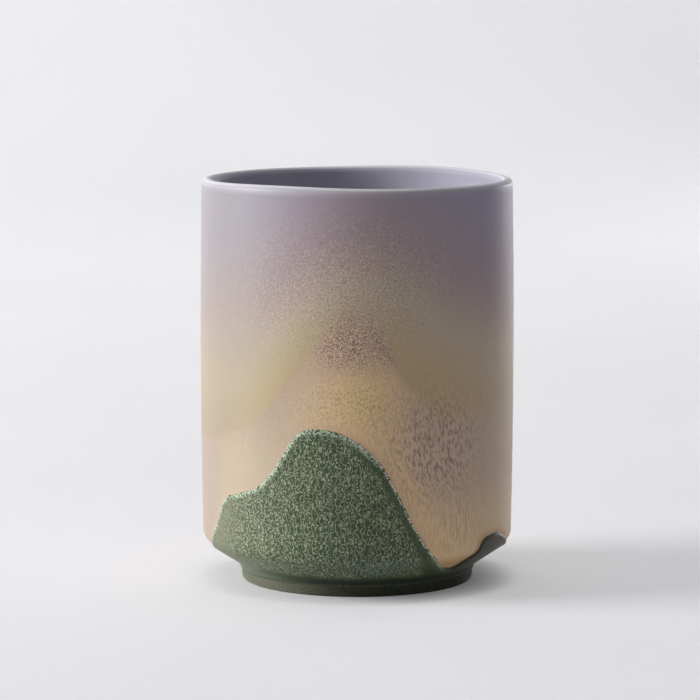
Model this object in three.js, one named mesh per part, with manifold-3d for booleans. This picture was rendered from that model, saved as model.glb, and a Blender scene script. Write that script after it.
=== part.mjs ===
// A handleless tea cup: one thrown stoneware body with a turned foot, and the glaze coats fused to it.
// Millimetres, +Z up. The origin is the centre of the foot ring's base, and the tall hill faces -Y.
import * as THREE from "three";
import { mergeVertices } from "three/addons/utils/BufferGeometryUtils.js";
import Module from "manifold-3d";

// Clay body, outside
const LIP_HEIGHT = 90.6;
const RIM_RADIUS = 34.62;
const BELLY = 0.4;
const SHOULDER_HEIGHT = 9.95;
const SHOULDER_ROUND = 2.5;
const FOOT_RADIUS = 26.1;
const FOOT_FLARE = 0.35;
const FOOT_HEIGHT = 4.4;
const FOOT_FILLET = 1.6;
const FOOT_EDGE = 0.5;

// Clay body, inside and under the foot
const LIP_THICKNESS = 2.0;
const WALL_THICKNESS = 2.7;
const FLOOR_HEIGHT = 7.1;
const FLOOR_FILLET = 9;
const RING_WIDTH = 4;
const RING_EDGE = 0.5;
const RECESS_DEPTH = 2.6;
const RECESS_FILLET = 1.2;

// Glaze coats
const WALL_GLAZE = 0.35;
const LINER_GLAZE = 0.35;
const HILL_GLAZE = 0.48;
const RECESS_GLAZE = 0.25;
const BOND = 0.03;
const GLAZE_LINE = 2.4;
const THINNING_HEIGHT = 2.4;
const THINNED_SHARE = 0.3;
const LIP_LAP = 1.2;
const SEAM_GAP = 0.06;
const RECESS_LINE = 1;

// The hill coat's upper edge: its rolled width, the height of the tallest hill, and its ridge line as points
// of angle, in degrees round from the front, and share of that height. The front is the tall hill with a
// shoulder on its left, a valley at 44 degrees and a low hill beside it. Low hills carry on round the back.
const ROLL_WIDTH = 0.9;
const HILL_HEIGHT = 38.7;
const RIDGE = [
  [-168, 0.297], [-140, 0.191], [-112, 0.289], [-90, 0.212], [-76, 0.171], [-63, 0.375], [-56.5, 0.54],
  [-48, 0.59], [-37.7, 0.655], [-30, 0.783], [-22, 0.966], [-13, 1], [-3, 0.959], [8, 0.814], [14.5, 0.636],
  [20, 0.462], [25.5, 0.322], [31, 0.233], [38, 0.174], [44, 0.151], [48, 0.163], [50, 0.25], [52.5, 0.31],
  [58, 0.331], [64, 0.328], [71, 0.286], [80, 0.22], [94, 0.186], [122, 0.32], [150, 0.455], [172, 0.393],
];

// The thrown lip stands a little proud on two opposite sides.
const LIP_RISE = 0.45;
const LIP_HIGH_ANGLE = -32;
const LIP_RISE_SHARPNESS = 8;
const LIP_RISE_START = 55;

// Faceting
const SEGMENTS = 60;
const HILL_COLUMNS = 2 * SEGMENTS;
const BELLY_STEPS = 3;
const SHOULDER_STEPS = 4;
const FOOT_STEPS = 2;
const LIP_STEPS = 6;
const FLOOR_STEPS = 5;
const EDGE_STEPS = 2;

// How far the hill coat's cutting ring reaches past the coat
const CUTTER_MARGIN = 4;

// Where the straight wall ends and the round of the lip begins, and the foot ring's inner side
const WALL_TOP = LIP_HEIGHT - LIP_THICKNESS / 2;
const RING_INSIDE = FOOT_RADIUS - RING_WIDTH;

const wasm = await Module();
wasm.setup();

const point = (r, z) => new THREE.Vector2(r, z);

// Replaces a corner by an arc of the given radius, as a list of points from the first side to the second.
function fillet(before, corner, after, radius, steps) {
  const toBefore = before.clone().sub(corner).normalize();
  const toAfter = after.clone().sub(corner).normalize();
  const half = Math.acos(toBefore.dot(toAfter)) / 2;
  const bisector = toBefore.clone().add(toAfter).normalize();
  const centre = corner.clone().addScaledVector(bisector, radius / Math.sin(half));
  const start = corner.clone().addScaledVector(toBefore, radius / Math.tan(half)).sub(centre);
  const end = corner.clone().addScaledVector(toAfter, radius / Math.tan(half)).sub(centre);
  const sweep = Math.atan2(start.cross(end), start.dot(end));
  const turned = (k) => start.clone().rotateAround(point(0, 0), (sweep * k) / steps).add(centre);
  return Array.from({ length: steps + 1 }, (_, k) => turned(k));
}

// Moves a line of points sideways, to its right-hand side, which is away from the clay. The distance is given
// for each point.
function offset(line, distanceAt) {
  const normals = line.slice(1).map((p, i) => point(p.y - line[i].y, line[i].x - p.x).normalize());
  return line.map((p, i) => {
    const before = normals[Math.max(i - 1, 0)];
    const after = normals[Math.min(i, normals.length - 1)];
    const mitre = before.clone().add(after).divideScalar(1 + before.dot(after));
    return p.clone().addScaledVector(mitre, distanceAt(p));
  });
}

// The wall swells a little between the shoulder and the lip.
function wallRadius(z) {
  const share = (z - SHOULDER_HEIGHT) / (LIP_HEIGHT - SHOULDER_HEIGHT);
  return RIM_RADIUS + 4 * BELLY * share * (1 - share);
}

// Under the foot, from the axis to the ring's inner edge: the recess.
function recessLine() {
  const centre = point(0, RECESS_DEPTH);
  const corner = point(RING_INSIDE, RECESS_DEPTH);
  const end = point(RING_INSIDE, RECESS_LINE);
  return [centre, ...fillet(centre, corner, end, RECESS_FILLET, FOOT_STEPS), end];
}

// The bare foot ring, from its inner side across the base to the glaze line on its outer side.
function footLine() {
  const innerTop = point(RING_INSIDE, RECESS_LINE);
  const innerCorner = point(RING_INSIDE, 0);
  const outerCorner = point(FOOT_RADIUS, 0);
  const outerTop = footSide(GLAZE_LINE);
  return [
    innerTop,
    ...fillet(innerTop, innerCorner, outerCorner, RING_EDGE, EDGE_STEPS),
    ...fillet(innerCorner, outerCorner, outerTop, FOOT_EDGE, EDGE_STEPS),
    outerTop,
  ];
}

// A point on the foot's outer side, which leans out as it rises.
function footSide(z) {
  return point(FOOT_RADIUS + (FOOT_FLARE * z) / FOOT_HEIGHT, z);
}

// Outside, from the glaze line up the foot, the turned chamfer and the wall, over the lip to the seam.
function outsideLine() {
  const start = footSide(GLAZE_LINE);
  const footCorner = footSide(FOOT_HEIGHT);
  const shoulder = point(wallRadius(SHOULDER_HEIGHT), SHOULDER_HEIGHT);
  const wall = Array.from({ length: BELLY_STEPS }, (_, k) => {
    const z = THREE.MathUtils.lerp(SHOULDER_HEIGHT, WALL_TOP, (k + 1) / BELLY_STEPS);
    return point(wallRadius(z), z);
  });
  const outerTop = wall[wall.length - 1];
  const lipCentre = point(outerTop.x - LIP_THICKNESS / 2, WALL_TOP);
  const lip = Array.from({ length: LIP_STEPS }, (_, k) =>
    outerTop.clone().rotateAround(lipCentre, (Math.PI * (k + 1)) / LIP_STEPS),
  );
  return [
    start,
    ...fillet(start, footCorner, shoulder, FOOT_FILLET, FOOT_STEPS),
    ...fillet(footCorner, shoulder, wall[0], SHOULDER_ROUND, SHOULDER_STEPS),
    ...wall,
    ...lip,
    insideWall(WALL_TOP - LIP_LAP),
  ];
}

// A point on the inner wall, which thickens evenly from the lip down to the floor.
function insideWall(z) {
  const depth = (WALL_TOP - z) / (WALL_TOP - FLOOR_HEIGHT);
  const lipInside = wallRadius(WALL_TOP) - LIP_THICKNESS;
  const floorInside = RIM_RADIUS - WALL_THICKNESS;
  return point(THREE.MathUtils.lerp(lipInside, floorInside, depth), z);
}

// Inside, from the seam under the lip down the wall and over the floor to the axis.
function insideLine(gap) {
  const seam = insideWall(WALL_TOP - LIP_LAP - gap);
  const corner = insideWall(FLOOR_HEIGHT);
  const centre = point(0, FLOOR_HEIGHT);
  return [seam, ...fillet(seam, corner, centre, FLOOR_FILLET, FLOOR_STEPS), centre];
}

// How much of their thickness the outer coats have at a point: they thin out down to the glaze line.
function thinning(p) {
  const rise = THREE.MathUtils.smoothstep(p.y, GLAZE_LINE, GLAZE_LINE + THINNING_HEIGHT);
  return THREE.MathUtils.lerp(THINNED_SHARE, 1, rise);
}

// A coat on one stretch of the clay, as a closed section. A coat that reaches the axis starts and ends there.
function coatSection(line, thicknessAt) {
  const near = offset(line, () => BOND).reverse();
  const far = offset(line, (p) => BOND + thicknessAt(p));
  if (line[0].x === 0) return [...far, ...near];
  if (line[line.length - 1].x === 0) return [...near, ...far];
  return [...far, ...near, far[0].clone()];
}

// Turns a section round the cup's axis. Angle 0 is the front, -Y, and angles grow towards +X.
function revolve(section) {
  const turned = new THREE.LatheGeometry(section, SEGMENTS);
  return turned.rotateX(Math.PI / 2);
}

// The ridge line's height at an angle in degrees, smooth through its points and closed round the cup.
function ridgeHeight(angle) {
  const count = RIDGE.length;
  const turns = (k) => 360 * Math.floor(k / count);
  const at = (k) => RIDGE[((k % count) + count) % count];
  const angleAt = (k) => at(k)[0] + turns(k);
  const slope = (k) => (at(k + 1)[1] - at(k - 1)[1]) / (angleAt(k + 1) - angleAt(k - 1));
  let k = 0;
  while (angleAt(k + 1) <= angle) k += 1;
  const span = angleAt(k + 1) - angleAt(k);
  const t = (angle - angleAt(k)) / span;
  const eased = t * t * (3 - 2 * t);
  const bend = span * t * (1 - t) * (slope(k) * (1 - t) - slope(k + 1) * t);
  return HILL_HEIGHT * (THREE.MathUtils.lerp(at(k)[1], at(k + 1)[1], eased) + bend);
}

// A line's radius at a height, on the stretch where it rises.
function radiusAt(line, z) {
  const k = line.findIndex((p) => p.y > z) - 1;
  const share = (z - line[k].y) / (line[k + 1].y - line[k].y);
  return THREE.MathUtils.lerp(line[k].x, line[k + 1].x, share);
}

// The space under the ridge line, as a closed ring. Its top slopes down outwards, so that the coat cut by it
// thins towards its edge, over the roll's width.
function underRidge(coatInside) {
  const slope = ROLL_WIDTH / HILL_GLAZE;
  const innerRadius = FOOT_RADIUS - CUTTER_MARGIN;
  const outerRadius = RIM_RADIUS + BELLY + CUTTER_MARGIN;
  const bottom = -slope * (outerRadius - innerRadius);
  const positions = [];
  for (let j = 0; j < HILL_COLUMNS; j += 1) {
    const degrees = RIDGE[0][0] + (360 * (j + 0.5)) / HILL_COLUMNS;
    const angle = THREE.MathUtils.degToRad(degrees);
    const height = ridgeHeight(degrees);
    const top = (r) => height + slope * (radiusAt(coatInside, height) - r);
    const corners = [
      [innerRadius, bottom],
      [outerRadius, bottom],
      [outerRadius, top(outerRadius)],
      [innerRadius, top(innerRadius)],
    ];
    corners.forEach(([r, z]) => positions.push(r * Math.sin(angle), -r * Math.cos(angle), z));
  }
  const faces = [];
  for (let j = 0; j < HILL_COLUMNS; j += 1) {
    const here = 4 * j;
    const next = 4 * ((j + 1) % HILL_COLUMNS);
    for (let side = 0; side < 4; side += 1) {
      const after = (side + 1) % 4;
      faces.push(here + side, next + side, next + after, here + side, next + after, here + after);
    }
  }
  const geometry = new THREE.BufferGeometry();
  geometry.setAttribute("position", new THREE.Float32BufferAttribute(positions, 3));
  return geometry.setIndex(faces);
}

// A closed geometry as a solid for cutting.
function solid(geometry) {
  const bare = new THREE.BufferGeometry();
  bare.setAttribute("position", geometry.getAttribute("position"));
  bare.setIndex(geometry.getIndex());
  const merged = mergeVertices(bare);
  const vertProperties = merged.getAttribute("position").array;
  const triVerts = new Uint32Array(merged.getIndex().array);
  return new wasm.Manifold(new wasm.Mesh({ numProp: 3, vertProperties, triVerts }));
}

// The hill coat: a shell round the lower wall, over the wall coat, kept only under the ridge line.
function hillGeometry(outside) {
  const count = outside.findIndex((p) => p.y > HILL_HEIGHT + ROLL_WIDTH) + 1;
  const near = offset(outside, (p) => 2 * BOND + WALL_GLAZE * thinning(p)).slice(0, count);
  const far = offset(outside, (p) => 2 * BOND + (WALL_GLAZE + HILL_GLAZE) * thinning(p)).slice(0, count);
  const shell = revolve([...far, ...near.toReversed(), far[0].clone()]);
  const kept = solid(shell).intersect(solid(underRidge(near))).getMesh();
  const geometry = new THREE.BufferGeometry();
  geometry.setAttribute("position", new THREE.BufferAttribute(kept.vertProperties, 3));
  return geometry.setIndex(new THREE.BufferAttribute(kept.triVerts, 1));
}

// The thrown lip's rise, which fades out down the wall.
function raiseLip(geometry) {
  const place = geometry.getAttribute("position");
  const high = THREE.MathUtils.degToRad(LIP_HIGH_ANGLE);
  for (let i = 0; i < place.count; i += 1) {
    const angle = Math.atan2(place.getX(i), -place.getY(i));
    const share = THREE.MathUtils.smoothstep(place.getZ(i), LIP_RISE_START, LIP_HEIGHT);
    const rise = LIP_RISE * Math.cos(angle - high) ** LIP_RISE_SHARPNESS;
    place.setZ(i, place.getZ(i) + rise * share);
  }
  return geometry;
}

function piece(name, geometry, color, roughness) {
  const material = new THREE.MeshStandardMaterial({ color, roughness, metalness: 0 });
  const mesh = new THREE.Mesh(raiseLip(geometry), material);
  mesh.name = name;
  return mesh;
}

const recess = recessLine();
const outside = outsideLine();
const bodySection = [...recess, ...footLine().slice(1), ...outside.slice(1), ...insideLine(0).slice(1)];
const linerSection = coatSection(insideLine(SEAM_GAP), () => LINER_GLAZE);
const wallSection = coatSection(outside, (p) => WALL_GLAZE * thinning(p));
const recessSection = coatSection(recess, () => RECESS_GLAZE);

const cup = new THREE.Group();
cup.add(
  piece("stoneware_body", revolve(bodySection), 0x575545, 0.85),
  piece("liner_glaze", revolve(linerSection), 0xa9a6b4, 0.55),
  piece("wall_glaze", revolve(wallSection), 0xb79f92, 0.6),
  piece("hill_glaze", hillGeometry(outside), 0x65705a, 0.5),
  piece("recess_glaze", revolve(recessSection), 0xa9a6b4, 0.55),
);

export default cup;
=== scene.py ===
# The finished looks of a handleless stoneware tea cup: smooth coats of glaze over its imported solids.
import math

import bmesh
import bpy
import numpy as np
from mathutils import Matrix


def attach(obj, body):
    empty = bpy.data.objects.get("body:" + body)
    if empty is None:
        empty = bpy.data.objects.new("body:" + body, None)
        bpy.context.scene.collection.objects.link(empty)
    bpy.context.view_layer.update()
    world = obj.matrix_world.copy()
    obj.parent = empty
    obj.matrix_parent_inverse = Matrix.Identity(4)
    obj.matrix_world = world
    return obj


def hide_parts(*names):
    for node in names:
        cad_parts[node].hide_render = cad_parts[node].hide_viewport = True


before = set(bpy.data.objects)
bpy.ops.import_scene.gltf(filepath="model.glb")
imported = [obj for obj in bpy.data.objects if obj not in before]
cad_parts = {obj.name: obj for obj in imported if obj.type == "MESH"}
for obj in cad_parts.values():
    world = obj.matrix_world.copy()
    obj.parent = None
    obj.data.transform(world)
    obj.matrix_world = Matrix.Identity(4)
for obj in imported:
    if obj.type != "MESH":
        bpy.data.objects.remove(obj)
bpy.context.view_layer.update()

# Sizes of the cup in millimetres, the same as those of its solids
LIP_HEIGHT = 90.6
RIM_RADIUS = 34.62
BELLY = 0.4
SHOULDER_HEIGHT = 9.95
SHOULDER_ROUND = 2.5
FOOT_RADIUS = 26.1
FOOT_FLARE = 0.35
FOOT_HEIGHT = 4.4
FOOT_FILLET = 1.6
FOOT_EDGE = 0.5
LIP_THICKNESS = 2.0
WALL_THICKNESS = 2.7
FLOOR_HEIGHT = 7.1
FLOOR_FILLET = 9
RING_WIDTH = 4
RING_EDGE = 0.5
RECESS_DEPTH = 2.6
RECESS_FILLET = 1.2
WALL_GLAZE = 0.35
LINER_GLAZE = 0.35
HILL_GLAZE = 0.48
RECESS_GLAZE = 0.25
BOND = 0.03
GLAZE_LINE = 2.4
THINNING_HEIGHT = 2.4
THINNED_SHARE = 0.3
LIP_LAP = 1.2
RECESS_LINE = 1
ROLL_WIDTH = 0.9
LIP_RISE = 0.45
LIP_HIGH_ANGLE = -32
LIP_RISE_SHARPNESS = 8
LIP_RISE_START = 55
WALL_TOP = LIP_HEIGHT - LIP_THICKNESS / 2
RING_INSIDE = FOOT_RADIUS - RING_WIDTH

# The hill coat's ridge line: degrees round from the front, and share of the tallest hill's height
HILL_HEIGHT = 38.7
RIDGE = [
    (-168, 0.297), (-140, 0.191), (-112, 0.289), (-90, 0.212), (-76, 0.171), (-63, 0.375), (-56.5, 0.54),
    (-48, 0.59), (-37.7, 0.655), (-30, 0.783), (-22, 0.966), (-13, 1), (-3, 0.959), (8, 0.814), (14.5, 0.636),
    (20, 0.462), (25.5, 0.322), (31, 0.233), (38, 0.174), (44, 0.151), (48, 0.163), (50, 0.25), (52.5, 0.31),
    (58, 0.331), (64, 0.328), (71, 0.286), (80, 0.22), (94, 0.186), (122, 0.32), (150, 0.455), (172, 0.393),
]

# Fine relief that only the looks have: the hill coat's bead along its edge, the round of its lower end, the
# lace of its edge, how far it sinks into the coat below, and the throwing rings left in the wall
EDGE_BEAD = 0.1
BEAD_WIDTH = 0.55
LOWER_ROUND = 0.25
LACE = 0.05
LACE_BEATS = (61, 89, 127, 163, 211, 257)
LACE_CALM = 0.8
LACE_CALM_SLOPE = (0.3, 0.8)
SINK = 0.05
RING_PITCH = 5.2
RING_FADE = (20, 30)
OUTSIDE_RING = 0.015
INSIDE_RING = 0.05

# Where the wall coat's colours lie. The ghost is the outline of the faint mountain, the arch lies above it,
# and the mound is the outline of its speckled peak. A bell is a centre and a width in degrees from the front,
# and a rise. A patch is a centre and a width in degrees, and a height and a depth in millimetres. A pair of
# heights is where a zone starts and where it is full.
GHOST_LEVEL = 38
GHOST_TILT = 4.2
GHOST_RISE = 24
GHOST_SLOPE = (-1.5, 31, 19)
FAR_RANGES = ((128, 24, 10), (-146, 27, 14))
ARCH_LEVEL = 48
ARCH_TILT = 2.9
ARCH_BELLS = ((0, 38, 19), (130, 42, 8), (-146, 42, 11))
MOUND_LEVEL = 40.5
MOUND_BELLS = ((-1.5, 24, 11.5),)
MOUND_TOP = (-1, 17)
MOUND_TOP_RISE = 12
MOUND_FADE = (-3, 3.5)
PEAK_PLATEAU = (-1, 20)
PEAK_START = (48, 57)
FAR_PEAK = (-146, 24, 49, 6)
FAR_PEAK_SHARE = 0.6
STREAKS = ((1.25, (29.5, 19, 34.5, 11)), (0.2, (-40, 17, 36, 5)), (0.6, (170, 40, 34, 9)))
STREAK_LEAN = 0.01
STREAK_LEVEL = 60
STRAW_BELLS = ((-29, 22, 1), (26, 14, 1))
STRAW_ABOVE = 1
STRAW_DEPTH = 8
FLANK = (24, 20)
PATCHES = {
    "strands": (-2, 27, 44, 7),
    "rain": (38, 15, 17, 9),
    "specks": (-2, 37, 69, 13),
    "glow": (4, 11, 45, 6.5),
    "sand": (4, 30, 77, 9),
    "cream": (-46, 13, 31, 8),
    "pool": (42, 9, 7.4, 1.8),
}
LIP_TURN = 0.2
# The lip is painted paler, in part as a highlight, and a thin painted highlight runs along its top
LIP_PALE = (89.2, 90.8)
LIP_HIGHLIGHT_LINE = (90.35, 90.8)
UPPER_WALL = (80, 84)
FOOT_SHADE = (3.6, 2.9)

# Where the hill coat's colours lie: stretches round the cup, as degrees where each starts, is full, starts to
# end and ends, and how far in from its edge the coat stays plain
LOW_HILL = (36, 48, 84, 104)
LOW_HILL_END = (52, 72)
# On the left, where the window lights the cup, the hill coat is painted paler: painted light
LEFT = (-120, -85, -62, -15)
FAR_LEFT = (-110, -80, -60, -42)
FAR_LEFT_CALM = 0.55
PLAIN_EDGE = 1.1
PLAIN_BELLS = ((6, 9, 1.2), (34, 13, 2.6))
PLAIN_BLEND = 0.9
MOTTLED_START = (4.0, 5.4)
LACY_SLOPE = (0.8, 1.7)
LACY_VALLEY = (30, 14)
LACY_CALM = 0.75
DASHED_SLOPE = (0.2, 0.6)
BLUE_PATCH = (8, 20, 8, 4)

# The hill coat's pale strands: how many lie round the cup, and how far noise warps and breaks them
WORM_COUNT = 252
WORM_WARP = 14
WORM_WARP_GRAIN = 0.7
WORM_BREAK = 3.2
WORM_BREAK_GRAIN = 0.42

# Grain of the other patterns, in millimetres
DRIFT_GRAIN = 14
SPECK_GRAIN = 0.38
DUST_GRAIN = 0.36
SAND_GRAIN = 0.45
CRUMB_GRAIN = 0.24
THREAD_GRAIN = 0.35
STREAK_GRAIN = 0.33
RAIN_GRAIN = 0.44
WALL_SHEEN_GRAIN = 2.2
TONE_GRAIN = 4
CLUMP_GRAIN = 2.4
LACE_GRAIN = 0.4
DASH_GRAIN = 0.5
CLAY_PATCH_GRAIN = 7
CLAY_GRAIN = 0.35
CLOUD_GRAIN = 11
LINER_SPECK_GRAIN = 0.4
LINER_SHEEN_GRAIN = 2.5
TOOTH_GRAIN = 0.3
PAPER_GRAIN = 180

# Mesh density, and shares of the map that colours are baked to
COLUMNS = 360
HILL_COLUMNS = 720
WALL_ROWS = 84
ROUND_ROWS = 12
LIP_ROWS = 20
FLOOR_ROWS = 16
EDGE_ROWS = 6
HILL_ROWS = 52
ROLL_ROWS = 22
ROLL_REACH = 2.6
HIDDEN_STEP = 4
LONGEST_ROW = 1.0
LONGEST_CLAY_ROW = 4.0
CRISP_ANGLE = 50
WELD_DISTANCE = 0.001
SEEN_MAP_SHARE = 0.95
HIDDEN_MAP_SHARE = 0.04

# Camera at the photograph's viewing angle, in metres, degrees and millimetres of lens
CAMERA_PLACE = (-0.00162, -0.7956, 0.1526)
CAMERA_PITCH = 7.22
CAMERA_LENS = 182.06
SENSOR_WIDTH = 36

# Room and floor in metres: the room's light and how bright it shows, how much the floor glows where it is
# seen, the shade close under the cup, and the floor's sweep up behind it
ROOM_LIGHT = 0.16
ROOM_SHOWN = 0.8
FLOOR_SHOWN = 0.343
CONTACT_REACH = 0.009
CONTACT_SHADE = 1.03
LIT_SIDE_SHARE = 0.46
LEE_REACH = 0.03
FLOOR_REACH = 3.0
SWEEP_START = 0.95
SWEEP_RADIUS = 0.6
SWEEP_TOP = 2.0
SWEEP_ROWS = 24

MM = 0.001


# Profiles, in radius and height

def point(r, z):
    return np.array([r, z], float)


def unit(vector):
    return vector / np.linalg.norm(vector)


def fillet(before, corner, after, radius, steps):
    """An arc in place of a corner, as points from the first side to the second."""
    to_before = unit(before - corner)
    to_after = unit(after - corner)
    half = math.acos(to_before @ to_after) / 2
    centre = corner + unit(to_before + to_after) * radius / math.sin(half)
    start = corner + to_before * radius / math.tan(half) - centre
    end = corner + to_after * radius / math.tan(half) - centre
    sweep = math.atan2(start[0] * end[1] - start[1] * end[0], start @ end)
    turns = np.linspace(0, sweep, steps + 1)
    across = start[0] * np.cos(turns) - start[1] * np.sin(turns)
    up = start[0] * np.sin(turns) + start[1] * np.cos(turns)
    return centre + np.stack([across, up], axis=1)


def mitres(line):
    """At each point of a line, the step that moves it one unit to its right, away from the clay."""
    steps = np.diff(line, axis=0)
    normals = np.stack([steps[:, 1], -steps[:, 0]], axis=1)
    normals /= np.linalg.norm(normals, axis=1, keepdims=True)
    before = np.vstack([normals[:1], normals])
    after = np.vstack([normals, normals[-1:]])
    return (before + after) / (1 + np.sum(before * after, axis=1, keepdims=True))


def offset(line, distance):
    """A line moved sideways, by one distance or by one for each of its points."""
    return line + mitres(line) * np.reshape(distance, (-1, 1))


def thinning(line):
    """How much of their thickness the outer coats have: they thin out down to the glaze line."""
    rise = smoothstep(line[:, 1], GLAZE_LINE, GLAZE_LINE + THINNING_HEIGHT)
    return THINNED_SHARE + (1 - THINNED_SHARE) * rise


def lengths(line):
    """Length along a line up to each of its points."""
    steps = np.linalg.norm(np.diff(line, axis=0), axis=1)
    return np.concatenate([[0], np.cumsum(steps)])


def dense(line, longest):
    """The line with its long stretches divided."""
    parts = [line[:1]]
    for start, end in zip(line[:-1], line[1:]):
        count = max(1, math.ceil(np.linalg.norm(end - start) / longest))
        shares = np.linspace(0, 1, count + 1)[1:, None]
        parts.append(start + (end - start) * shares)
    return np.vstack(parts)


def wall_radius(z):
    share = (z - SHOULDER_HEIGHT) / (LIP_HEIGHT - SHOULDER_HEIGHT)
    return RIM_RADIUS + 4 * BELLY * share * (1 - share)


def foot_side(z):
    return point(FOOT_RADIUS + FOOT_FLARE * z / FOOT_HEIGHT, z)


def inside_wall(z):
    depth = (WALL_TOP - z) / (WALL_TOP - FLOOR_HEIGHT)
    lip_inside = wall_radius(WALL_TOP) - LIP_THICKNESS
    floor_inside = RIM_RADIUS - WALL_THICKNESS
    return point(lip_inside + (floor_inside - lip_inside) * depth, z)


def recess_line():
    """Under the foot, from the axis to the ring's inner side."""
    centre = point(0, RECESS_DEPTH)
    corner = point(RING_INSIDE, RECESS_DEPTH)
    end = point(RING_INSIDE, RECESS_LINE)
    return np.vstack([centre, fillet(centre, corner, end, RECESS_FILLET, ROUND_ROWS), end])


def foot_line():
    """The bare ring, from its inner side across the base to the glaze line."""
    inner_top = point(RING_INSIDE, RECESS_LINE)
    inner_corner = point(RING_INSIDE, 0)
    outer_corner = point(FOOT_RADIUS, 0)
    outer_top = foot_side(GLAZE_LINE)
    return np.vstack([
        inner_top,
        fillet(inner_top, inner_corner, outer_corner, RING_EDGE, EDGE_ROWS),
        fillet(inner_corner, outer_corner, outer_top, FOOT_EDGE, EDGE_ROWS),
        outer_top,
    ])


def outside_line():
    """Outside, from the glaze line up the foot, the chamfer and the wall, over the lip to the seam."""
    start = foot_side(GLAZE_LINE)
    foot_corner = foot_side(FOOT_HEIGHT)
    shoulder = point(wall_radius(SHOULDER_HEIGHT), SHOULDER_HEIGHT)
    heights = np.linspace(SHOULDER_HEIGHT + SHOULDER_ROUND, WALL_TOP, WALL_ROWS)
    wall = np.stack([wall_radius(heights), heights], axis=1)
    turns = np.linspace(0, math.pi, LIP_ROWS + 1)[1:, None]
    lip_centre = wall[-1] - point(LIP_THICKNESS / 2, 0)
    lip = lip_centre + LIP_THICKNESS / 2 * np.hstack([np.cos(turns), np.sin(turns)])
    return np.vstack([
        start,
        fillet(start, foot_corner, shoulder, FOOT_FILLET, ROUND_ROWS),
        fillet(foot_corner, shoulder, wall[0], SHOULDER_ROUND, ROUND_ROWS),
        wall,
        lip,
        inside_wall(WALL_TOP - LIP_LAP),
    ])


def inside_line():
    """Inside, from the seam under the lip down the wall and over the floor to the axis."""
    seam = inside_wall(WALL_TOP - LIP_LAP)
    corner = inside_wall(FLOOR_HEIGHT)
    centre = point(0, FLOOR_HEIGHT)
    return np.vstack([seam, fillet(seam, corner, centre, FLOOR_FILLET, FLOOR_ROWS), centre])


# Landscape round the cup, by angle in degrees from the front

def apart(angle, centre):
    """Angle from a centre, the short way round."""
    return (angle - centre + 180) % 360 - 180


def bell(angle, centre, width):
    return np.exp(-(apart(angle, centre) / width) ** 2)


def slope(angle, centre, left_width, right_width):
    """A bell whose two sides fall off over widths of their own."""
    away = apart(angle, centre)
    return np.exp(-(away / np.where(away < 0, left_width, right_width)) ** 2)


def plateau(angle, centre, width):
    """Like a bell, with a flatter top and steeper sides."""
    return np.exp(-(apart(angle, centre) / width) ** 4)


def bells(angle, rises):
    """Bells added up, each with its centre, its width and its rise."""
    return sum(rise * bell(angle, centre, width) for centre, width, rise in rises)


def hump(angle, height, patch):
    """1 in the middle of a patch of the wall, falling off round the cup and up and down."""
    centre, width, level, depth = patch
    return bell(angle, centre, width) * np.exp(-((height - level) / depth) ** 2)


def smoothstep(value, low, high):
    """0 to 1 as the value goes from low to high, with soft ends."""
    share = np.clip((value - low) / (high - low), 0, 1)
    return share * share * (3 - 2 * share)


def between(angle, start, full, fading, end):
    """1 on a stretch round the cup, with soft ends."""
    return smoothstep(angle, start, full) * smoothstep(-angle, -end, -fading)


def ridge_height(angle):
    """Height of the hill coat's edge, smooth through the ridge points and closed round the cup."""
    angles = np.array([a for a, _ in RIDGE], float)
    heights = HILL_HEIGHT * np.array([h for _, h in RIDGE], float)
    station = np.concatenate([angles[-2:] - 360, angles, angles[:3] + 360])
    level = np.concatenate([heights[-2:], heights, heights[:3]])
    rate = (level[2:] - level[:-2]) / (station[2:] - station[:-2])
    station = station[1:-1]
    level = level[1:-1]
    spot = angles[0] + (angle - angles[0]) % 360
    k = np.clip(np.searchsorted(station, spot, side="right") - 1, 0, len(station) - 2)
    span = station[k + 1] - station[k]
    t = (spot - station[k]) / span
    eased = t * t * (3 - 2 * t)
    bend = span * t * (1 - t) * (rate[k] * (1 - t) - rate[k + 1] * t)
    return level[k] + (level[k + 1] - level[k]) * eased + bend


def ridge_slope(angle):
    """Rise of the ridge line per millimetre round the cup."""
    step = 0.5
    across = math.radians(2 * step) * RIM_RADIUS
    return (ridge_height(angle + step) - ridge_height(angle - step)) / across


def below_ridge(angle, height):
    """Distance into the hill coat from its edge, square to the edge."""
    return (ridge_height(angle) - height) / np.sqrt(1 + ridge_slope(angle) ** 2)


def low_hill(angle):
    """1 on the smooth low hill at the right of the valley, and 0 away from it."""
    return between(angle, *LOW_HILL)


def lace(angle):
    """Small waves of the hill coat's edge, calmer where the edge runs steeply down to the right."""
    turn = np.radians(angle)
    waves = sum(np.sin(beat * turn + beat * beat) for beat in LACE_BEATS)
    calm = LACE_CALM * smoothstep(-ridge_slope(angle), *LACE_CALM_SLOPE)
    return LACE * waves * (1 - calm) * (1 - low_hill(angle))


# Meshes

def turned(line):
    """Rings of points from a profile turned round the axis. Angle 0 is the front, -Y."""
    turn = np.radians(np.arange(COLUMNS) * 360 / COLUMNS - 180)
    r = line[:, 0][:, None]
    z = np.broadcast_to(line[:, 1][:, None], (len(line), COLUMNS))
    return np.stack([r * np.sin(turn), -r * np.cos(turn), z], axis=2)


def around(places):
    """Angle in degrees from the front of points of the cup."""
    return np.degrees(np.arctan2(places[..., 0], -places[..., 1]))


def swollen(rings, depth):
    """Rings with the faint spiral left by throwing pressed into them, fading out near the axis."""
    radius = np.hypot(rings[..., 0], rings[..., 1])
    wave = np.sin(2 * math.pi * rings[..., 2] / RING_PITCH + np.radians(around(rings)))
    share = 1 + depth * wave * smoothstep(radius, *RING_FADE) / np.maximum(radius, 1)
    return rings * np.stack([share, share, np.ones_like(share)], axis=2)


def lip_rise(angle):
    """How much higher the lip stands at each angle."""
    return LIP_RISE * np.cos(np.radians(angle - LIP_HIGH_ANGLE)) ** LIP_RISE_SHARPNESS


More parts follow.
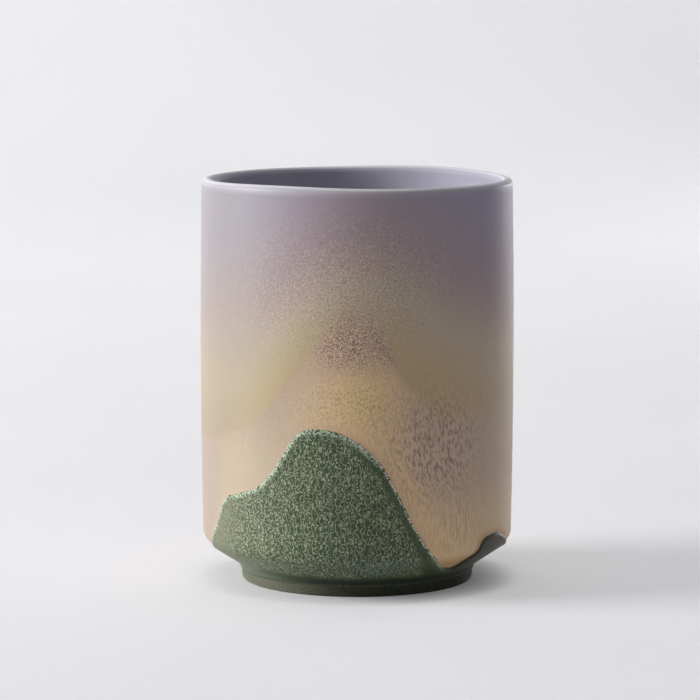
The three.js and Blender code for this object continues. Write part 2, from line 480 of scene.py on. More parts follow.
def raise_lip(rings):
    rings[..., 2] += lip_rise(around(rings)) * smoothstep(rings[..., 2], LIP_RISE_START, LIP_HEIGHT)
    return rings


def ring_mesh(name, rings, closed, seen):
    """A smooth mesh from rings of points in millimetres. The first rings, as many as are seen, take most of
    the map that colours are baked to. A closed one joins its last ring to its first."""
    count, columns = rings.shape[:2]
    spans = count if closed else count - 1
    corners = raise_lip(rings).reshape(-1, 3) * MM
    i, j = np.divmod(np.arange(spans * columns), columns)
    after = (i + 1) % count
    beside = (j + 1) % columns
    faces = np.stack(
        [i * columns + j, i * columns + beside, after * columns + beside, after * columns + j], axis=1)
    mesh = bpy.data.meshes.new(name)
    mesh.from_pydata(corners.tolist(), [], faces.tolist())
    steps = np.linalg.norm(np.diff(rings[:, 0], axis=0), axis=1)
    steps = np.concatenate([steps, [1.0]])[:spans]
    hidden = np.arange(spans) >= seen - 1
    hidden_share = HIDDEN_MAP_SHARE / max(hidden.sum(), 1)
    shares = np.where(hidden, hidden_share, SEEN_MAP_SHARE * steps / steps[~hidden].sum())
    low = np.concatenate([[0], np.cumsum(shares)])
    across = np.stack([j, j + 1, j + 1, j], axis=1) / columns
    up = np.stack([low[i], low[i], low[i + 1], low[i + 1]], axis=1)
    layer = mesh.uv_layers.new(name="OFBake")
    layer.data.foreach_set("uv", np.stack([across, up], axis=2).ravel())
    mesh.polygons.foreach_set("use_smooth", np.ones(len(mesh.polygons), bool))
    return mesh


def weld(mesh):
    """Joins the points that meet on the axis, and keeps the coats' cut edges crisp."""
    work = bmesh.new()
    work.from_mesh(mesh)
    bmesh.ops.remove_doubles(work, verts=work.verts, dist=WELD_DISTANCE * MM)
    loose = [edge for edge in work.edges if not edge.link_faces]
    bmesh.ops.delete(work, geom=loose, context="EDGES")
    work.to_mesh(mesh)
    work.free()
    mesh.set_sharp_from_angle(angle=math.radians(CRISP_ANGLE))


def piece(mesh, node, material):
    """A finished piece that stands for one node of the solids."""
    weld(mesh)
    thing = bpy.data.objects.new(mesh.name, mesh)
    bpy.context.collection.objects.link(thing)
    mesh.materials.append(material)
    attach(thing, "root")
    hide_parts(node)


def zone(mesh, name, values):
    """A number at each point of a mesh, which its material reads by name."""
    layer = mesh.attributes.new(name, "FLOAT", "POINT")
    layer.data.foreach_set("value", np.asarray(values, np.float32))


def places_of(mesh):
    """Each point of a mesh in millimetres."""
    places = np.empty(len(mesh.vertices) * 3, np.float32)
    mesh.vertices.foreach_get("co", places)
    return places.reshape(-1, 3) / MM


def coat_mesh(name, fine, thickness, ring_depth=0.0):
    """A coat on one stretch of the clay: its seen side first, then its hidden side with fewer rings."""
    seen = offset(fine, BOND + thickness)
    hidden = offset(fine, BOND)
    kept = sorted({0, len(hidden) - 1, *range(0, len(hidden), HIDDEN_STEP)})
    rings = np.concatenate([swollen(turned(seen), ring_depth), turned(hidden[kept][::-1])])
    return ring_mesh(name, rings, True, len(seen))


def body_mesh():
    """The clay: one closed profile from the axis under the foot, over the lip, to the axis inside."""
    line = np.vstack([recess_line(), foot_line()[1:], outside_line()[1:], inside_line()[1:]])
    line = dense(line, LONGEST_CLAY_ROW)
    return ring_mesh("stoneware_cup", turned(line), False, len(line))


def hill_mesh():
    """The thick coat round the foot, up to its ridge line, with a rolled edge, thinning out at the foot."""
    clay = dense(outside_line(), LONGEST_ROW)
    line = offset(clay, WALL_GLAZE * thinning(clay) + BOND - SINK)
    rising = slice(0, np.argmax(line[:, 1]))
    along = lengths(line)
    normals = mitres(line)
    angles = np.arange(HILL_COLUMNS) * 360 / HILL_COLUMNS - 180
    ridge = ridge_height(angles) + lace(angles)
    end = np.interp(ridge, line[rising, 1], along[rising])
    low = np.linspace(0, 1, HILL_ROWS)[:, None] * (end - ROLL_REACH)
    high = end - ROLL_REACH + np.linspace(0, 1, ROLL_ROWS + 1)[1:, None] * ROLL_REACH
    at = np.vstack([low, high])
    into = (end - at) / np.sqrt(1 + ridge_slope(angles) ** 2)
    roll = np.sqrt(1 - (1 - np.clip(into / ROLL_WIDTH, 0, 1)) ** 2)
    bead = EDGE_BEAD * np.exp(-((into - ROLL_WIDTH) / BEAD_WIDTH) ** 2)
    foot = np.sqrt(1 - (1 - np.clip(at / LOWER_ROUND, 0, 1)) ** 2)
    thickness = (HILL_GLAZE + bead) * roll * np.interp(at, along, thinning(clay)) * foot
    spots = [np.interp(at, along, line[:, k]) for k in (0, 1)]
    leans = [np.interp(at, along, normals[:, k]) for k in (0, 1)]
    turn = np.radians(angles)

    def rings(lift):
        r = spots[0] + leans[0] * lift
        z = spots[1] + leans[1] * lift
        return np.stack([r * np.sin(turn), -r * np.cos(turn), z], axis=2)

    seen = rings(thickness)
    hidden = rings(np.zeros_like(thickness))[::-1][1:-1][::HIDDEN_STEP]
    return ring_mesh("hill_coat", np.concatenate([seen, hidden]), True, len(seen))


# Materials

def srgb(red, green, blue):
    """A colour as it looks on screen, 0 to 255, as the linear colour that a shader takes."""
    parts = np.array([red, green, blue]) / 255
    linear = np.where(parts <= 0.04045, parts / 12.92, ((parts + 0.055) / 1.055) ** 2.4)
    return (*linear.tolist(), 1.0)


class Paint:
    """One material's nodes. Each call adds a node and hands back its output."""

    def __init__(self, name):
        self.material = bpy.data.materials.new(name)
        self.material.use_nodes = True
        self.tree = self.material.node_tree
        self.shader = self.tree.nodes["Principled BSDF"]
        self.place = self.node("ShaderNodeTexCoord").outputs["Object"]

    def node(self, kind, inputs=None, **settings):
        made = self.tree.nodes.new(kind)
        for key, value in settings.items():
            setattr(made, key, value)
        for key, value in (inputs or {}).items():
            self.set(made.inputs[key], value)
        return made

    def set(self, socket, value):
        if isinstance(value, bpy.types.NodeSocket):
            self.tree.links.new(value, socket)
        else:
            socket.default_value = value

    def zone(self, name):
        return self.node("ShaderNodeAttribute", attribute_name=name).outputs["Fac"]

    def math(self, operation, first, second=0.0):
        return self.node("ShaderNodeMath", {0: first, 1: second}, operation=operation).outputs[0]

    def add(self, first, second):
        return self.math("ADD", first, second)

    def times(self, first, second):
        return self.math("MULTIPLY", first, second)

    def step(self, value, low, high):
        """A smooth 0 to 1 as the value goes from low to high."""
        inputs = {"Value": value, "From Min": low, "From Max": high}
        return self.node("ShaderNodeMapRange", inputs, interpolation_type="SMOOTHSTEP").outputs[0]

    def vector(self, operation, first, second=(0, 0, 0)):
        return self.node("ShaderNodeVectorMath", {0: first, 1: second}, operation=operation).outputs[0]

    def stretched(self, across, up):
        """The place on the cup, scaled round it and up it."""
        return self.vector("MULTIPLY", self.place, (across, across, up))

    def wrapped(self, up):
        """The place moved out to the rim's radius and scaled up the cup, so that patterns keep their size
        on slopes."""
        away = self.vector("NORMALIZE", self.vector("MULTIPLY", self.place, (1, 1, 0)))
        ring = self.vector("MULTIPLY", away, (RIM_RADIUS * MM,) * 3)
        rise = self.vector("MULTIPLY", self.place, (0, 0, up))
        return self.vector("ADD", ring, rise)

    def noise(self, grain, detail=0.0, distortion=0.0, place=None):
        """Even noise from 0 to 1 whose grain is given in millimetres."""
        inputs = {
            "Vector": place or self.place, "Scale": 1 / (grain * MM),
            "Detail": detail, "Distortion": distortion,
        }
        return self.node("ShaderNodeTexNoise", inputs).outputs["Fac"]

    def mix(self, share, first, second):
        inputs = {0: share, 6: first, 7: second}
        return self.node("ShaderNodeMix", inputs, data_type="RGBA").outputs[2]

    def lay(self, ground, where, share, colour):
        """A colour laid over the ground: where the mask is 1, as much of it as the share says."""
        return self.mix(self.times(where, share), ground, colour)

    def ramp(self, value, stops):
        """Colours at rising values, blended smoothly between them."""
        low = stops[0][0]
        high = stops[-1][0]
        inputs = {"Value": value, "From Min": low, "From Max": high}
        share = self.node("ShaderNodeMapRange", inputs).outputs[0]
        made = self.node("ShaderNodeValToRGB", {"Fac": share})
        elements = made.color_ramp.elements
        for at, colour in stops[1:-1]:
            elements.new((at - low) / (high - low)).color = colour
        elements[0].color = stops[0][1]
        elements[len(stops) - 1].color = stops[-1][1]
        return made.outputs["Color"]

    def bump(self, height, depth):
        """Relief of the given depth in millimetres."""
        inputs = {"Height": height, "Strength": 1.0, "Distance": depth * MM}
        return self.node("ShaderNodeBump", inputs).outputs["Normal"]

    def finish(self, **inputs):
        for key, value in inputs.items():
            self.set(self.shader.inputs[key.replace("_", " ")], value)
        return self.material


def peak_zone(angle, height, far_ranges):
    """1 on the speckled peak of the faint mountain, and less on the far peak behind."""
    mound = MOUND_LEVEL + far_ranges + bells(angle, MOUND_BELLS)
    mound += MOUND_TOP_RISE * plateau(angle, *MOUND_TOP)
    near_peak = plateau(angle, *PEAK_PLATEAU) * smoothstep(height, *PEAK_START)
    far_peak = FAR_PEAK_SHARE * hump(angle, height, FAR_PEAK)
    return smoothstep(mound - height, *MOUND_FADE) * (near_peak + far_peak)


def wall_zones(mesh):
    """Where each colour of the wall coat lies, by angle and height."""
    places = places_of(mesh)
    angle = around(places)
    height = places[:, 2]
    radius = np.hypot(*places[:, :2].T)
    side = np.sin(np.radians(angle))
    far_ranges = bells(angle, FAR_RANGES)
    ghost = GHOST_LEVEL + GHOST_TILT * side + GHOST_RISE * slope(angle, *GHOST_SLOPE) + far_ranges
    arch = ARCH_LEVEL + ARCH_TILT * side + bells(angle, ARCH_BELLS)
    straw = bells(angle, STRAW_BELLS) * np.exp(-((height - ghost - STRAW_ABOVE) / STRAW_DEPTH) ** 2)
    streaks = sum(np.minimum(share * hump(angle, height, patch), 1) for share, patch in STREAKS)
    inward = smoothstep(radius, RIM_RADIUS - LIP_TURN, RIM_RADIUS - LIP_THICKNESS)
    zone(mesh, "above_ghost", height - ghost)
    zone(mesh, "above_arch", height - arch)
    zone(mesh, "above_ridge", -below_ridge(angle, height))
    zone(mesh, "side", side)
    zone(mesh, "lean", STREAK_LEAN * side * (height - STREAK_LEVEL))
    zone(mesh, "peak", peak_zone(angle, height, far_ranges))
    zone(mesh, "streaks", streaks)
    zone(mesh, "straw", straw)
    zone(mesh, "flank", bell(angle, *FLANK))
    zone(mesh, "low_hill", low_hill(angle))
    zone(mesh, "foot", smoothstep(height, *FOOT_SHADE))
    zone(mesh, "lip", smoothstep(height, *LIP_PALE) * (1 - inward))
    zone(mesh, "lip_highlight", smoothstep(height - lip_rise(angle), *LIP_HIGHLIGHT_LINE))
    zone(mesh, "inward", inward * smoothstep(height, *UPPER_WALL))
    for name, patch in PATCHES.items():
        zone(mesh, name, hump(angle, height, patch))


# Colours of the wall coat. Each list goes by millimetres above the arch or the faint mountain's outline.
SKY_RIGHT = [
    (-12, srgb(202, 175, 138)), (-5, srgb(197, 178, 146)), (2, srgb(196, 179, 158)),
    (8, srgb(184, 163, 157)), (15, srgb(170, 152, 157)), (33, srgb(160, 152, 171)),
]
SKY_LEFT = [
    (-9, srgb(171, 155, 137)), (-3, srgb(175, 161, 139)), (3, srgb(175, 161, 141)),
    (15, srgb(165, 152, 147)), (33, srgb(155, 149, 155)),
]
LAND_MIDDLE = [(-18, srgb(246, 210, 162)), (-8, srgb(237, 202, 163)), (0, srgb(224, 191, 157))]
LAND_RIGHT = [
    (-32, srgb(251, 219, 172)), (-26, srgb(246, 213, 170)), (-14, srgb(214, 187, 162)),
    (0, srgb(204, 180, 152)),
]
LAND_LEFT = [
    (-30, srgb(191, 176, 158)), (-12, srgb(191, 174, 151)), (-3, srgb(184, 164, 146)),
    (0, srgb(183, 159, 138)),
]
LEFT_EDGE = srgb(172, 156, 145)
# Painted sheen: a paler, greyer colour that stands for light reflected at the far right
RIGHT_EDGE_SHEEN = srgb(208, 194, 178)
STRAW_LEFT = srgb(190, 171, 131)
STRAW_RIGHT = srgb(203, 177, 131)
GLOW = srgb(243, 212, 152)
CREAM = srgb(204, 188, 150)
PEACH = srgb(240, 204, 155)
DARK_SPECK = srgb(132, 112, 108)
PALE_SPECK = srgb(230, 214, 198)
PALE_SAND = srgb(226, 212, 200)
PEAK = srgb(226, 192, 168)
PEAK_CRUMB = srgb(104, 76, 70)
PEAK_DUST = srgb(226, 202, 184)
THREAD = srgb(140, 110, 86)
STREAK_GROUND = srgb(212, 186, 171)
STREAK = srgb(136, 110, 104)
RAIN = srgb(176, 147, 118)
HILL_FRINGE = srgb(214, 178, 156)
LOW_HILL_HALO = srgb(204, 160, 98)
POOLED_OCHRE = srgb(226, 188, 124)
# The lip's paler colour is in part a painted highlight, and the next is a painted highlight line on its top
LIP = srgb(200, 196, 205)
LIP_HIGHLIGHT = srgb(236, 233, 240)
LIP_INSIDE = srgb(182, 180, 194)
WALL_FOOT = srgb(62, 66, 50)


def wall_ground(paint):
    """Lavender above an arch of straw, and the faint mountain's ochre and peach below it."""
    side = paint.zone("side")
    drift = paint.add(paint.noise(DRIFT_GRAIN, 2), -0.5)
    arch = paint.add(paint.zone("above_arch"), paint.times(drift, 6))
    ghost = paint.add(paint.zone("above_ghost"), paint.times(drift, 5))
    sky = paint.mix(paint.step(side, -0.2, -0.85), paint.ramp(arch, SKY_RIGHT), paint.ramp(arch, SKY_LEFT))
    straw = paint.mix(paint.step(side, -0.1, 0.1), STRAW_LEFT, STRAW_RIGHT)
    sky = paint.lay(sky, paint.zone("straw"), 0.75, straw)
    land = paint.mix(
        paint.step(side, 0.2, 0.6), paint.ramp(ghost, LAND_MIDDLE), paint.ramp(ghost, LAND_RIGHT))
    land = paint.mix(paint.step(side, 0.05, -0.65), land, paint.ramp(ghost, LAND_LEFT))
    land = paint.lay(land, paint.step(side, -0.72, -0.98), 0.8, LEFT_EDGE)
    land = paint.lay(land, paint.zone("glow"), 0.65, GLOW)
    land = paint.lay(land, paint.zone("cream"), 0.42, CREAM)
    flank = paint.times(paint.step(paint.zone("above_ridge"), 6.5, 1), paint.zone("flank"))
    land = paint.lay(land, flank, 0.6, PEACH)
    colour = paint.mix(paint.step(ghost, 1.2, -1.4), sky, land)
    # A painted sheen on the lower far right, standing for light that the glaze reflects from behind
    far_right_sheen = paint.times(paint.step(side, 0.55, 1), paint.step(arch, 20, -2))
    return paint.lay(colour, far_right_sheen, 0.4, RIGHT_EDGE_SHEEN)


def wall_specks(paint, colour):
    """Fine specks, close together on the faint mountain's peak."""
    dark = paint.step(paint.noise(SPECK_GRAIN, 1), 0.5, 0.6)
    pale = paint.step(paint.noise(DUST_GRAIN, 1, place=paint.stretched(1.01, 1.03)), 0.52, 0.64)
    specks = paint.add(paint.zone("specks"), 0.04)
    colour = paint.lay(colour, paint.times(dark, specks), 0.45, DARK_SPECK)
    colour = paint.lay(colour, paint.times(pale, specks), 0.5, PALE_SPECK)
    sand = paint.times(paint.step(paint.noise(SAND_GRAIN), 0.66, 0.73), paint.zone("sand"))
    colour = paint.lay(colour, sand, 0.35, PALE_SAND)
    peak = paint.zone("peak")
    crumb = paint.step(paint.noise(CRUMB_GRAIN, 1), 0.49, 0.55)
    colour = paint.lay(colour, peak, 0.6, PEAK)
    colour = paint.lay(colour, paint.times(crumb, peak), 0.9, PEAK_CRUMB)
    return paint.lay(colour, paint.times(pale, peak), 0.5, PEAK_DUST)


def leaning_streaks(paint):
    """Long noise for the thick strands, whose grain leans with height, more towards the sides."""
    inputs = {"Vector": paint.stretched(1, 0.26), "Angle": paint.zone("lean")}
    leaning = paint.node("ShaderNodeVectorRotate", inputs, rotation_type="Z_AXIS").outputs[0]
    return paint.noise(STREAK_GRAIN, 1.5, 0.3, place=leaning)


def wall_strands(paint, colour, streak):
    """Strands that run down from the mountain, longer and thicker to the right."""
    thread = paint.noise(THREAD_GRAIN, 1, 0.4, place=paint.stretched(1, 0.55))
    threads = paint.times(paint.step(thread, 0.49, 0.59), paint.zone("strands"))
    colour = paint.lay(colour, threads, 0.4, THREAD)
    streaks = paint.zone("streaks")
    colour = paint.lay(colour, streaks, 0.36, STREAK_GROUND)
    colour = paint.lay(colour, paint.times(paint.step(streak, 0.45, 0.64), streaks), 0.74, STREAK)
    rain = paint.noise(RAIN_GRAIN, 1, 0.3, place=paint.stretched(1, 0.16))
    return paint.lay(colour, paint.times(paint.step(rain, 0.44, 0.7), paint.zone("rain")), 0.5, RAIN)


def wall_edges(paint, colour):
    """A peach fringe on the hills, pooled ochre in the valley, a painted highlight on the lip, a dark foot.
    """
    above_ridge = paint.zone("above_ridge")
    colour = paint.lay(colour, paint.step(above_ridge, 2.4, 0.1), 0.3, HILL_FRINGE)
    halo = paint.times(paint.step(above_ridge, 1.5, 0.2), paint.zone("low_hill"))
    colour = paint.lay(colour, halo, 0.5, LOW_HILL_HALO)
    colour = paint.lay(colour, paint.zone("pool"), 0.8, POOLED_OCHRE)
    # Painted highlights: the lip paler in part as a highlight, and a bright line along its top
    colour = paint.lay(colour, paint.zone("lip"), 0.7, LIP)
    colour = paint.mix(paint.zone("inward"), colour, LIP_INSIDE)
    colour = paint.lay(colour, paint.zone("lip_highlight"), 0.9, LIP_HIGHLIGHT)
    return paint.mix(paint.zone("foot"), colour, WALL_FOOT)


def wall_paint():
    """The matt coat outside, glossier at the lip, with the thick strands in slight relief."""
    paint = Paint("wall_glaze")
    streak = leaning_streaks(paint)
    colour = wall_specks(paint, wall_ground(paint))
    colour = wall_edges(paint, wall_strands(paint, colour, streak))
    sheen = paint.add(0.52, paint.times(paint.noise(WALL_SHEEN_GRAIN, 3), 0.1))
    sheen = paint.add(sheen, paint.times(paint.zone("lip"), -0.16))
    relief = paint.add(paint.noise(TOOTH_GRAIN, 3), paint.times(streak, paint.zone("streaks")))
    return paint.finish(
        Base_Color=colour, Roughness=sheen, Specular_IOR_Level=0.36, Normal=paint.bump(relief, 0.02))


def hill_zones(mesh):
    """How far into the hill coat each point lies, how high, and where its mottling shows."""
    places = places_of(mesh)
    angle = around(places)
    height = places[:, 2]
    into = below_ridge(angle, height)
    falling = -ridge_slope(angle)
    rough_hills = 1 - low_hill(angle)
    far_left = between(angle, *FAR_LEFT)
    plain = PLAIN_EDGE + bells(angle, PLAIN_BELLS)
    mottled = smoothstep(into, plain - PLAIN_BLEND, plain + PLAIN_BLEND)
    mottled *= smoothstep(height, *MOTTLED_START)
    lacy = (1 - LACY_CALM * smoothstep(falling, *LACY_SLOPE)) * (1 - LACY_CALM * bell(angle, *LACY_VALLEY))
    zone(mesh, "into", into)
    zone(mesh, "height", height)
    zone(mesh, "mottled", mottled * (1 - FAR_LEFT_CALM * far_left) * rough_hills)
    zone(mesh, "lacy", lacy * rough_hills)
    zone(mesh, "dashed", smoothstep(falling, *DASHED_SLOPE) * rough_hills)
    zone(mesh, "far_left", far_left)
    zone(mesh, "left", between(angle, *LEFT))
    zone(mesh, "blue", hump(angle, height, BLUE_PATCH))
    zone(mesh, "low_hill", low_hill(angle))
    zone(mesh, "low_hill_end", smoothstep(angle, *LOW_HILL_END))


# Colours of the hill coat
GREEN = srgb(62, 77, 51)
PALER_GREEN = srgb(70, 85, 58)
# Paler greens on the left, where the window lights the cup: painted light
LIT_LEFT_GREEN = srgb(112, 115, 92)
LIT_FAR_LEFT_GREEN = srgb(132, 134, 113)
LOW_HILL_NEAR = srgb(84, 83, 74)
LOW_HILL_FAR = srgb(108, 106, 97)
LOW_HILL_RIM = srgb(58, 54, 38)
PALE_STRAND = srgb(181, 188, 156)
GREEN_STRAND = srgb(169, 179, 148)
BLUE_STRAND = srgb(152, 163, 160)
PALE_LACE = srgb(182, 198, 170)
DARK_LACE = srgb(34, 46, 33)
DASH = srgb(240, 238, 222)
# Painted light: the lower coat paler on the far left, where the window lights it
LIT_LOW_LEFT = srgb(132, 137, 124)
# Painted shade in the groove above the foot, and a paler copy of it where the window lights the left
GROOVE_SHADE = srgb(38, 48, 33)
LIT_LEFT_GROOVE_SHADE = srgb(102, 113, 96)
LOWER_EDGE = srgb(88, 94, 76)


def worms(paint):
    """Where the hill coat's short pale strands lie, from 0 to 1: waves round the cup, warped and broken."""
    across, out, _ = paint.node("ShaderNodeSeparateXYZ", {0: paint.place}).outputs
    turn = paint.math("ARCTAN2", across, out)
    warp = paint.add(paint.noise(WORM_WARP_GRAIN, place=paint.wrapped(0.9)), -0.5)
    wave = paint.math("SINE", paint.add(paint.times(turn, WORM_COUNT), paint.times(warp, WORM_WARP)))
    breaks = paint.add(paint.noise(WORM_BREAK_GRAIN, place=paint.wrapped(1.2)), -0.5)
    return paint.step(paint.add(wave, paint.times(breaks, WORM_BREAK)), -0.5, 1.6)


def hill_ground(paint):
    """The coat's greens, paler on the left as painted light, and the smooth face of the low hill."""
    colour = paint.mix(paint.step(paint.noise(TONE_GRAIN, 2), 0.35, 0.65), GREEN, PALER_GREEN)
    colour = paint.lay(colour, paint.zone("left"), 0.55, LIT_LEFT_GREEN)
    colour = paint.lay(colour, paint.zone("far_left"), 0.6, LIT_FAR_LEFT_GREEN)
    low_hill_face = paint.mix(paint.zone("low_hill_end"), LOW_HILL_NEAR, LOW_HILL_FAR)
    return paint.lay(colour, paint.zone("low_hill"), 0.85, low_hill_face)


def hill_rim(paint, colour, edge, lace_grain):
    """The coat's upper edge: pale and dark lace, a dark rim on the low hill, and dashes on the slope."""
    into = paint.zone("into")
    colour = paint.mix(paint.times(edge, paint.step(lace_grain, 0.43, 0.54)), colour, PALE_LACE)
    colour = paint.mix(paint.times(edge, paint.step(lace_grain, 0.45, 0.36)), colour, DARK_LACE)
    low_hill_rim = paint.times(paint.step(into, 1.0, 0.4), paint.zone("low_hill"))
    colour = paint.lay(colour, low_hill_rim, 0.8, LOW_HILL_RIM)
    dashes = paint.times(paint.step(into, 0.75, 0.5), paint.step(paint.noise(DASH_GRAIN), 0.47, 0.53))
    return paint.lay(colour, paint.times(dashes, paint.zone("dashed")), 0.9, DASH)


def hill_foot(paint, colour, lace_grain):
    """The lower end: painted light at far left, painted shade in the groove above the foot, a paler last
    line.
    """
    height = paint.add(paint.zone("height"), paint.times(paint.add(lace_grain, -0.5), 1.6))
    # Painted light on the lower far left, where the window lights the coat
    lit_low_left = paint.times(paint.step(height, 8, 5), paint.zone("far_left"))
    colour = paint.lay(colour, lit_low_left, 0.75, LIT_LOW_LEFT)
    # Painted shade in the groove above the foot, paler on the left where the window lights it
    groove = paint.mix(paint.zone("left"), GROOVE_SHADE, LIT_LEFT_GROOVE_SHADE)
    colour = paint.mix(paint.step(height, 4.2, 3.6), colour, groove)
    return paint.lay(colour, paint.step(height, 2.9, 2.4), 0.7, LOWER_EDGE)


def hill_paint():
    """Dark green with pale worm-like mottling, a pale lacy edge, and painted shade in the groove at the foot.
    """
    paint = Paint("hill_glaze")
    strand = worms(paint)
    clump = paint.noise(CLUMP_GRAIN, 1)
    pale = paint.mix(paint.step(clump, 0.4, 0.62), PALE_STRAND, GREEN_STRAND)
    pale = paint.lay(pale, paint.zone("blue"), 0.8, BLUE_STRAND)
    mottled = paint.times(paint.zone("mottled"), paint.add(0.62, paint.times(clump, 0.5)))
    strands = paint.times(strand, mottled)
    colour = paint.mix(strands, hill_ground(paint), pale)
    lace_grain = paint.noise(LACE_GRAIN, 1, 0.4)
    edge = paint.times(paint.step(paint.zone("into"), 1.7, 0.6), paint.zone("lacy"))
    colour = hill_rim(paint, colour, edge, lace_grain)
    colour = hill_foot(paint, colour, lace_grain)
    shine = paint.add(0.5, paint.times(strand, 0.12))
    relief = paint.add(strands, paint.times(lace_grain, edge))
    return paint.finish(
        Base_Color=colour, Roughness=shine, Specular_IOR_Level=0.25, Normal=paint.bump(relief, 0.03))


# Colours of the bare clay and of the lining
CLAY_GREEN = srgb(56, 63, 50)
CLAY_BROWN = srgb(60, 62, 48)
# Paler clay on the left, where the window lights the foot: painted light
LIT_CLAY = srgb(113, 114, 98)
DARK_GRAIN = srgb(46, 43, 32)
PALE_GRAIN = srgb(122, 116, 94)
LINING = srgb(184, 182, 198)
LINING_CLOUD = srgb(189, 187, 201)
LINING_SPECK = srgb(138, 132, 146)


def clay_zones(mesh):
    zone(mesh, "side", np.sin(np.radians(around(places_of(mesh)))))


def clay_paint():
    """Bare olive-grey stoneware with a fine grain, and painted light that makes the left paler."""
    paint = Paint("stoneware")
    patch = paint.noise(CLAY_PATCH_GRAIN, 2)
    colour = paint.mix(paint.step(patch, 0.4, 0.62), CLAY_GREEN, CLAY_BROWN)
    # Painted light: the clay paler towards the left, the window's side
    colour = paint.mix(paint.step(paint.zone("side"), 0.0, -0.95), colour, LIT_CLAY)
    grain = paint.noise(CLAY_GRAIN, 2)
    colour = paint.lay(colour, paint.step(grain, 0.54, 0.68), 0.5, DARK_GRAIN)
    colour = paint.lay(colour, paint.step(grain, 0.45, 0.33), 0.3, PALE_GRAIN)
    rough = paint.add(0.78, paint.times(grain, 0.15))
    return paint.finish(
        Base_Color=colour, Roughness=rough, Specular_IOR_Level=0.2, Normal=paint.bump(grain, 0.05))


def liner_paint(name):
    """Even lavender-grey matt glaze, a little cloudy, with fine specks."""
    paint = Paint(name)
    cloud = paint.noise(CLOUD_GRAIN, 3)
    colour = paint.mix(paint.step(cloud, 0.35, 0.65), LINING, LINING_CLOUD)
    colour = paint.lay(colour, paint.step(paint.noise(LINER_SPECK_GRAIN, 1), 0.58, 0.7), 0.25, LINING_SPECK)
    sheen = paint.add(0.5, paint.times(paint.noise(LINER_SHEEN_GRAIN, 3), 0.1))
    tooth = paint.bump(paint.noise(TOOTH_GRAIN, 3), 0.02)
    return paint.finish(Base_Color=colour, Roughness=sheen, Specular_IOR_Level=0.35, Normal=tooth)


body = body_mesh()
piece(body, "stoneware_body", clay_paint())
clay_zones(body)

liner = coat_mesh("liner_coat", dense(inside_line(), LONGEST_ROW), LINER_GLAZE, INSIDE_RING)
piece(liner, "liner_glaze", liner_paint("liner_glaze"))

outside = dense(outside_line(), LONGEST_ROW)
wall = coat_mesh("wall_coat", outside, WALL_GLAZE * thinning(outside), OUTSIDE_RING)
piece(wall, "wall_glaze", wall_paint())
wall_zones(wall)

hill = hill_mesh()
piece(hill, "hill_glaze", hill_paint())
hill_zones(hill)

recess = coat_mesh("recess_coat", dense(recess_line(), LONGEST_ROW), RECESS_GLAZE)
piece(recess, "recess_glaze", liner_paint("recess_glaze"))


# Camera

lens = bpy.data.cameras.new("camera")
lens.lens = CAMERA_LENS
lens.sensor_width = SENSOR_WIDTH
camera = bpy.data.objects.new("camera", lens)
camera.location = CAMERA_PLACE
camera.rotation_euler = (math.radians(90 - CAMERA_PITCH), 0, 0)
bpy.context.collection.objects.link(camera)
bpy.context.scene.camera = camera


# Light: a large soft window on the left, a softer one overhead, low ones behind at the right and the left,
# and one for the backdrop. Place, aim and size in metres, power in watts.

def polar(azimuth, distance, height):
    """A place by its angle from the front, its distance from the axis and its height."""
    turn = math.radians(azimuth)
    return (distance * math.sin(turn), -distance * math.cos(turn), height)


def window(name, place, aim, size, power):
    """A large soft rectangle of light that faces a point."""
    light = bpy.data.lights.new(name, "AREA")
    light.shape = "RECTANGLE"
    light.size, light.size_y = size
    light.energy = power
    lamp = bpy.data.objects.new(name, light)
    lamp.location = place
    away = np.array(place) - np.array(aim)
    flat = math.hypot(away[0], away[1])
    lamp.rotation_euler = (math.atan2(flat, away[2]), 0, math.atan2(away[0], -away[1]))
    lamp.visible_camera = False
    bpy.context.collection.objects.link(lamp)


MIDDLE = (0, 0, 0.045)
window("left_window", polar(-85.5, 1.3, 0.42), MIDDLE, (0.62, 0.76), 20.4)
window("overhead", (0, 0, 1.5), (0, 0, 0), (1.0, 1.0), 2.2)
window("rear_right", polar(146, 1.1, 0.12), MIDDLE, (0.3, 0.2), 2.6)
window("rear_left", polar(-146, 1.1, 0.14), MIDDLE, (0.3, 0.24), 0.8)
window("backdrop", (-0.55, 0.7, 1.1), (-0.45, 1.5, 0.5), (0.8, 0.5), 3.1)


# Room and floor

ROOM_WHITE = srgb(252, 252, 255)
PAPER = srgb(214, 213, 216)
PALER_PAPER = srgb(218, 217, 220)
THROWN_LIGHT = srgb(244, 244, 246)
PAPER_GLOW = srgb(250, 250, 253)


def shown_rays(nodes, links):
    """1 for the camera, for reflections and for what is seen through glass, and 0 for light on a surface."""
    path = nodes.new("ShaderNodeLightPath")
    seen = path.outputs["Is Camera Ray"]
    for ray in ("Is Glossy Ray", "Is Transmission Ray"):
        either = nodes.new("ShaderNodeMath")
        either.operation = "MAXIMUM"
        links.new(seen, either.inputs[0])
        links.new(path.outputs[ray], either.inputs[1])
        seen = either.outputs[0]
    return seen


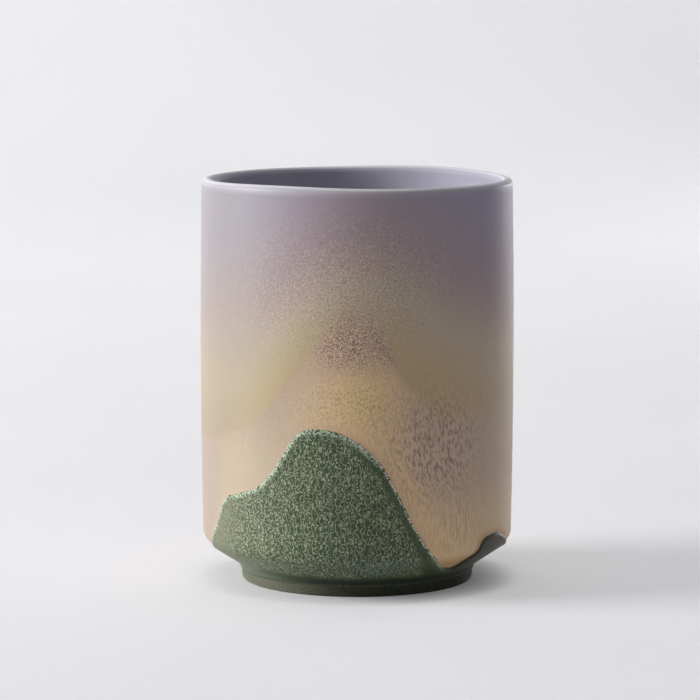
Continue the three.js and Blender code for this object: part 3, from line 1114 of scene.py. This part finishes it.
def room():
    """A dark room that shows as pale to the camera, in reflections and through glass."""
    world = bpy.data.worlds.new("room")
    bpy.context.scene.world = world
    world.use_nodes = True
    nodes = world.node_tree.nodes
    links = world.node_tree.links
    seen = shown_rays(nodes, links)
    strength = nodes.new("ShaderNodeMapRange")
    strength.inputs["To Min"].default_value = ROOM_LIGHT
    strength.inputs["To Max"].default_value = ROOM_SHOWN
    links.new(seen, strength.inputs["Value"])
    nodes["Background"].inputs["Color"].default_value = ROOM_WHITE
    links.new(strength.outputs[0], nodes["Background"].inputs["Strength"])


def floor_paint():
    """White paper. What is seen of it is a shade darker than the light it throws back, and it glows a little,
    less where the cup stands close over it, and least on the side away from the window."""
    paint = Paint("floor")
    shown = shown_rays(paint.tree.nodes, paint.tree.links)
    paper = paint.mix(paint.step(paint.noise(PAPER_GRAIN, 2), 0.3, 0.7), PAPER, PALER_PAPER)
    colour = paint.mix(shown, THROWN_LIGHT, paper)
    near = paint.node("ShaderNodeAmbientOcclusion", {"Distance": CONTACT_REACH}).outputs["AO"]
    across = paint.node("ShaderNodeSeparateXYZ", {0: paint.place}).outputs[0]
    lee = paint.step(across, -LEE_REACH, LEE_REACH)
    shade = paint.times(paint.add(LIT_SIDE_SHARE, paint.times(lee, 1 - LIT_SIDE_SHARE)), CONTACT_SHADE)
    open_sky = paint.math("MAXIMUM", paint.add(1, paint.times(shade, paint.add(near, -1))), 0)
    glow = paint.times(paint.times(shown, open_sky), FLOOR_SHOWN)
    return paint.finish(
        Base_Color=colour, Roughness=0.9, Specular_IOR_Level=0.0,
        Emission_Color=PAPER_GLOW, Emission_Strength=glow)


def floor_mesh():
    """A floor that sweeps up behind the cup without an edge."""
    turns = np.linspace(0, math.pi / 2, SWEEP_ROWS)
    back = [(SWEEP_START + SWEEP_RADIUS * math.sin(t), SWEEP_RADIUS * (1 - math.cos(t))) for t in turns]
    line = [(-FLOOR_REACH, 0), *back, (SWEEP_START + SWEEP_RADIUS, SWEEP_TOP)]
    corners = [(x, y, z) for y, z in line for x in (-FLOOR_REACH, FLOOR_REACH)]
    faces = [(2 * k, 2 * k + 1, 2 * k + 3, 2 * k + 2) for k in range(len(line) - 1)]
    mesh = bpy.data.meshes.new("floor")
    mesh.from_pydata(corners, [], faces)
    mesh.polygons.foreach_set("use_smooth", np.ones(len(faces), bool))
    mesh.materials.append(floor_paint())
    return mesh


room()

floor = bpy.data.objects.new("floor", floor_mesh())
bpy.context.collection.objects.link(floor)

bpy.context.scene.view_settings.view_transform = "Standard"
